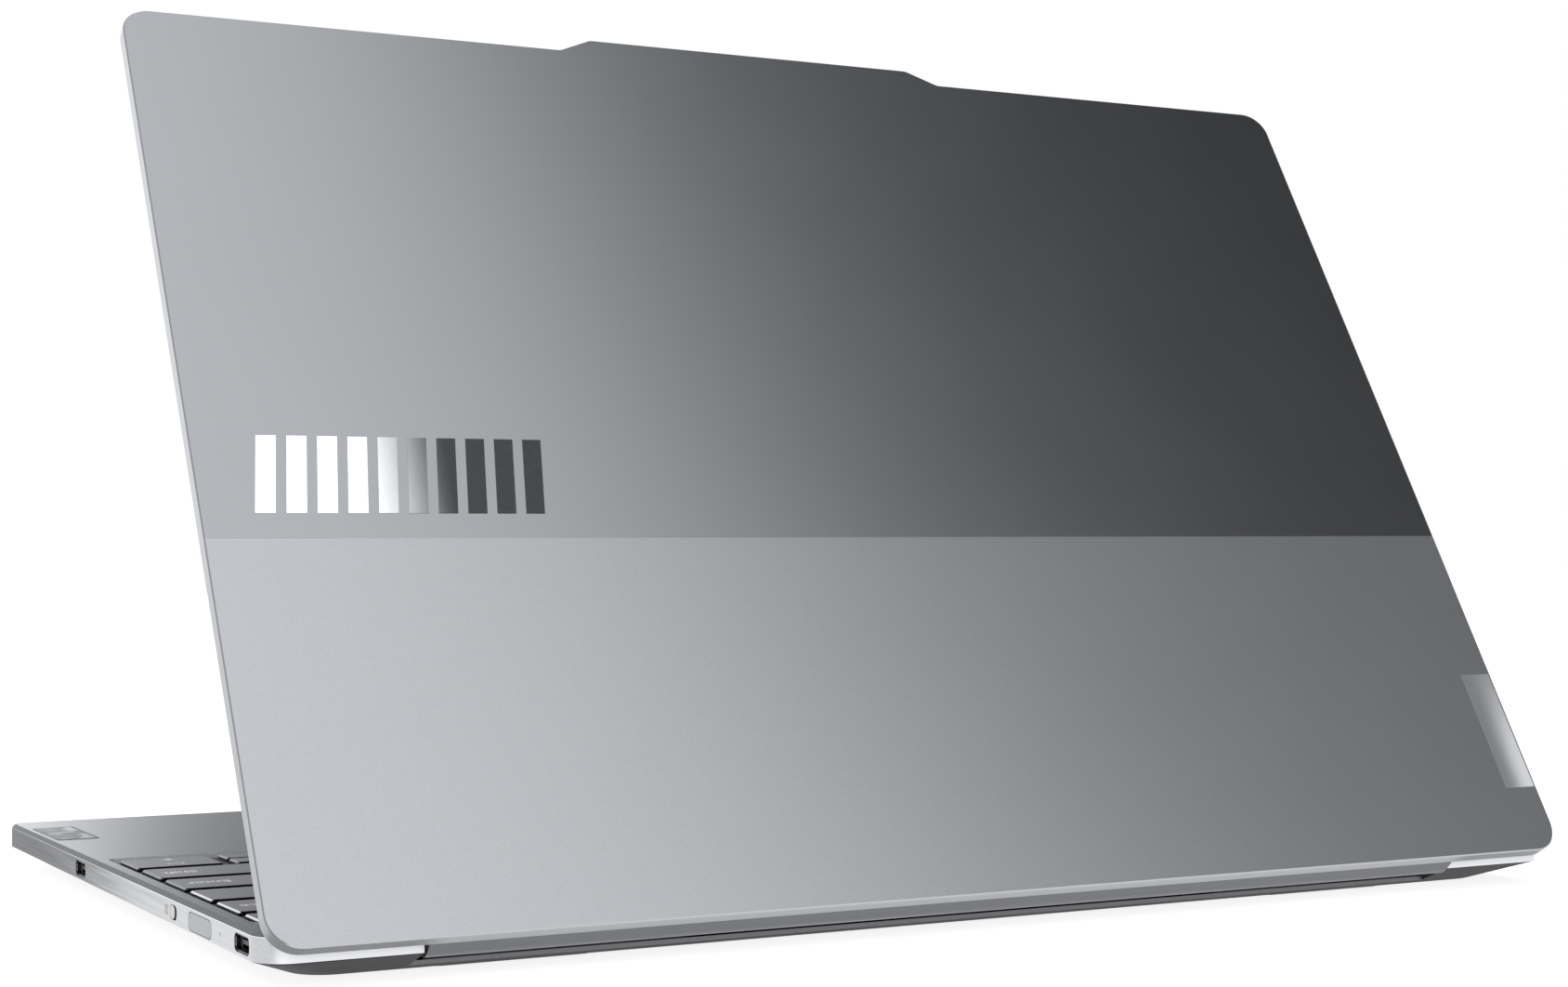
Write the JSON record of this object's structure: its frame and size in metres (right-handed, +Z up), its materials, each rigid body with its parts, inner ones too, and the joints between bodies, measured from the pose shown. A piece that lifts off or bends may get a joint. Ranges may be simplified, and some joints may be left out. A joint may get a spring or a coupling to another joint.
{
  "type": "laptop computer",
  "caption": "Thin metal clamshell laptop with a two-tone grey lid and raised camera bar, opening on a full-width hinge bar over a keyboard and touchpad.",
  "frame": {"origin": "centre of the overall box at the surface the rubber feet stand on, lid as pictured", "axes": "+X to the user's right along the hinge, +Y from the palm rest to the hinge and rear edge, +Z up"},
  "size_m": [0.2934, 0.2095, 0.1891],
  "materials": {
    "lid_metal": "fine blasted anodised grey, upper part smoother and darker",
    "polished_trim": "polished",
    "badge_metal": "brushed",
    "hinge_cover_metal": "satin grey anodised",
    "seal_rubber": "matte",
    "display_glass": "clear, dark bezel print behind",
    "display_panel": "switched off",
    "circuit_board": "solder mask",
    "lens_dark": "coated lens",
    "steel": "bare",
    "base_metal": "blasted deck, polished side walls",
    "bottom_metal": "dark anodised, fine matte",
    "backplate_steel": "black",
    "copper": "copper, lightly tarnished",
    "fin_metal": "bare",
    "black_plastic": "moulded",
    "battery_wrap": "film",
    "port_steel": "dark plated",
    "light_pipe": "clear white",
    "screw_steel": "black oxide",
    "foot_rubber": "matte",
    "sticker_foil": "silvery foil",
    "touchpad_glass": "etched, opaque",
    "button_metal": "blasted",
    "switch_plastic": "satin",
    "key_plastic": "fine matte grey"
  },
  "bodies": {
    "base": {"top_case": "base_metal", "bottom_cover": "bottom_metal", "keyboard_backplate": "backplate_steel", "touchpad_bracket": "steel", "motherboard": "circuit_board", "heat_spreader": "copper", "heat_pipe": "copper", "heat_fins": "fin_metal", "fan_housing_left": "black_plastic", "fan_housing_right": "black_plastic", "battery_cells": "battery_wrap", "battery_frame": "black_plastic", "ssd_module": "circuit_board", "wifi_card": "circuit_board", "speakers": "black_plastic", "usb_c_port_right_rear": "port_steel", "usb_c_port_right_front": "port_steel", "usb_c_port_left": "port_steel", "audio_jack": "black_plastic", "side_boards": "circuit_board", "status_light": "light_pipe", "hinge_bracket_left": "steel", "hinge_bracket_right": "steel", "hinge_shafts": "steel", "bottom_screws": "screw_steel", "rubber_feet": "foot_rubber", "palm_rest_sticker": "sticker_foil"},
    "lid": {"lid_back_cover": "lid_metal", "lid_emblem": "polished_trim", "lid_badge_plate": "badge_metal", "hinge_cover": "hinge_cover_metal", "display_gasket": "seal_rubber", "display_glass": "display_glass", "lcd_panel": "display_panel", "camera_module": "circuit_board", "camera_lens": "lens_dark", "hinge_barrel_left": "steel", "hinge_barrel_right": "steel"},
    "touchpad": {"touchpad": "touchpad_glass"},
    "power_button": {"power_button": "button_metal"},
    "privacy_switch": {"privacy_switch": "switch_plastic"},
    "fan_rotor_left": {"fan_rotor_left": "black_plastic"},
    "fan_rotor_right": {"fan_rotor_right": "black_plastic"},
    "keys_function_row": {"keys_function_row": "key_plastic"},
    "keys_number_row": {"keys_number_row": "key_plastic"},
    "backspace_key": {"backspace_key": "key_plastic"},
    "tab_key": {"tab_key": "key_plastic"},
    "keys_upper_letter_row": {"keys_upper_letter_row": "key_plastic"},
    "caps_lock_key": {"caps_lock_key": "key_plastic"},
    "keys_home_letter_row": {"keys_home_letter_row": "key_plastic"},
    "enter_key": {"enter_key": "key_plastic"},
    "left_shift_key": {"left_shift_key": "key_plastic"},
    "keys_lower_letter_row": {"keys_lower_letter_row": "key_plastic"},
    "right_shift_key": {"right_shift_key": "key_plastic"},
    "keys_modifier_row": {"keys_modifier_row": "key_plastic"},
    "space_key": {"space_key": "key_plastic"},
    "arrow_left_key": {"arrow_left_key": "key_plastic"},
    "arrow_up_key": {"arrow_up_key": "key_plastic"},
    "arrow_down_key": {"arrow_down_key": "key_plastic"},
    "arrow_right_key": {"arrow_right_key": "key_plastic"}
  },
  "joints": [
    {"name": "lid_hinge", "type": "hinge", "parent": "base", "child": "lid", "pos_m": [0, 0.09805, 0.0071], "axis": [-1, 0, 0], "range_deg": [-60, 100]},
    {"name": "touchpad_press", "type": "hinge", "parent": "base", "child": "touchpad", "pos_m": [0, -0.02675, 0.00955], "axis": [1, 0, 0], "range_deg": [0, 0.4], "stiffness_Nm_per_rad": 13, "springref_deg": -0.11},
    {"name": "power_button_press", "type": "slide", "parent": "base", "child": "power_button", "axis": [-1, 0, 0], "range_m": [0, 0.0004], "stiffness_N_per_m": 1500, "springref_m": -0.0002},
    {"name": "privacy_switch_slide", "type": "slide", "parent": "base", "child": "privacy_switch", "axis": [0, 1, 0], "range_m": [0, 0.0014]},
    {"name": "fan_spin_left", "type": "hinge", "parent": "base", "child": "fan_rotor_left", "pos_m": [-0.088, 0.05275, 0.0038], "axis": [0, 0, 1], "continuous": true},
    {"name": "fan_spin_right", "type": "hinge", "parent": "base", "child": "fan_rotor_right", "pos_m": [0.088, 0.05275, 0.0038], "axis": [0, 0, 1], "continuous": true},
    {"name": "keys_function_row_press", "type": "slide", "parent": "base", "child": "keys_function_row", "axis": [0, 0, -1], "range_m": [0, 0.00135], "stiffness_N_per_m": 350, "springref_m": -0.001},
    {"name": "keys_number_row_press", "type": "slide", "parent": "base", "child": "keys_number_row", "axis": [0, 0, -1], "range_m": [0, 0.00135], "stiffness_N_per_m": 350, "springref_m": -0.001},
    {"name": "backspace_key_press", "type": "slide", "parent": "base", "child": "backspace_key", "axis": [0, 0, -1], "range_m": [0, 0.00135], "stiffness_N_per_m": 350, "springref_m": -0.001},
    {"name": "tab_key_press", "type": "slide", "parent": "base", "child": "tab_key", "axis": [0, 0, -1], "range_m": [0, 0.00135], "stiffness_N_per_m": 350, "springref_m": -0.001},
    {"name": "keys_upper_letter_row_press", "type": "slide", "parent": "base", "child": "keys_upper_letter_row", "axis": [0, 0, -1], "range_m": [0, 0.00135], "stiffness_N_per_m": 350, "springref_m": -0.001},
    {"name": "caps_lock_key_press", "type": "slide", "parent": "base", "child": "caps_lock_key", "axis": [0, 0, -1], "range_m": [0, 0.00135], "stiffness_N_per_m": 350, "springref_m": -0.001},
    {"name": "keys_home_letter_row_press", "type": "slide", "parent": "base", "child": "keys_home_letter_row", "axis": [0, 0, -1], "range_m": [0, 0.00135], "stiffness_N_per_m": 350, "springref_m": -0.001},
    {"name": "enter_key_press", "type": "slide", "parent": "base", "child": "enter_key", "axis": [0, 0, -1], "range_m": [0, 0.00135], "stiffness_N_per_m": 350, "springref_m": -0.001},
    {"name": "left_shift_key_press", "type": "slide", "parent": "base", "child": "left_shift_key", "axis": [0, 0, -1], "range_m": [0, 0.00135], "stiffness_N_per_m": 350, "springref_m": -0.001},
    {"name": "keys_lower_letter_row_press", "type": "slide", "parent": "base", "child": "keys_lower_letter_row", "axis": [0, 0, -1], "range_m": [0, 0.00135], "stiffness_N_per_m": 350, "springref_m": -0.001},
    {"name": "right_shift_key_press", "type": "slide", "parent": "base", "child": "right_shift_key", "axis": [0, 0, -1], "range_m": [0, 0.00135], "stiffness_N_per_m": 350, "springref_m": -0.001},
    {"name": "keys_modifier_row_press", "type": "slide", "parent": "base", "child": "keys_modifier_row", "axis": [0, 0, -1], "range_m": [0, 0.00135], "stiffness_N_per_m": 350, "springref_m": -0.001},
    {"name": "space_key_press", "type": "slide", "parent": "base", "child": "space_key", "axis": [0, 0, -1], "range_m": [0, 0.00135], "stiffness_N_per_m": 350, "springref_m": -0.001},
    {"name": "arrow_left_key_press", "type": "slide", "parent": "base", "child": "arrow_left_key", "axis": [0, 0, -1], "range_m": [0, 0.00135], "stiffness_N_per_m": 350, "springref_m": -0.001},
    {"name": "arrow_up_key_press", "type": "slide", "parent": "base", "child": "arrow_up_key", "axis": [0, 0, -1], "range_m": [0, 0.00135], "stiffness_N_per_m": 350, "springref_m": -0.001},
    {"name": "arrow_down_key_press", "type": "slide", "parent": "base", "child": "arrow_down_key", "axis": [0, 0, -1], "range_m": [0, 0.00135], "stiffness_N_per_m": 350, "springref_m": -0.001},
    {"name": "arrow_right_key_press", "type": "slide", "parent": "base", "child": "arrow_right_key", "axis": [0, 0, -1], "range_m": [0, 0.00135], "stiffness_N_per_m": 350, "springref_m": -0.001}
  ]
}
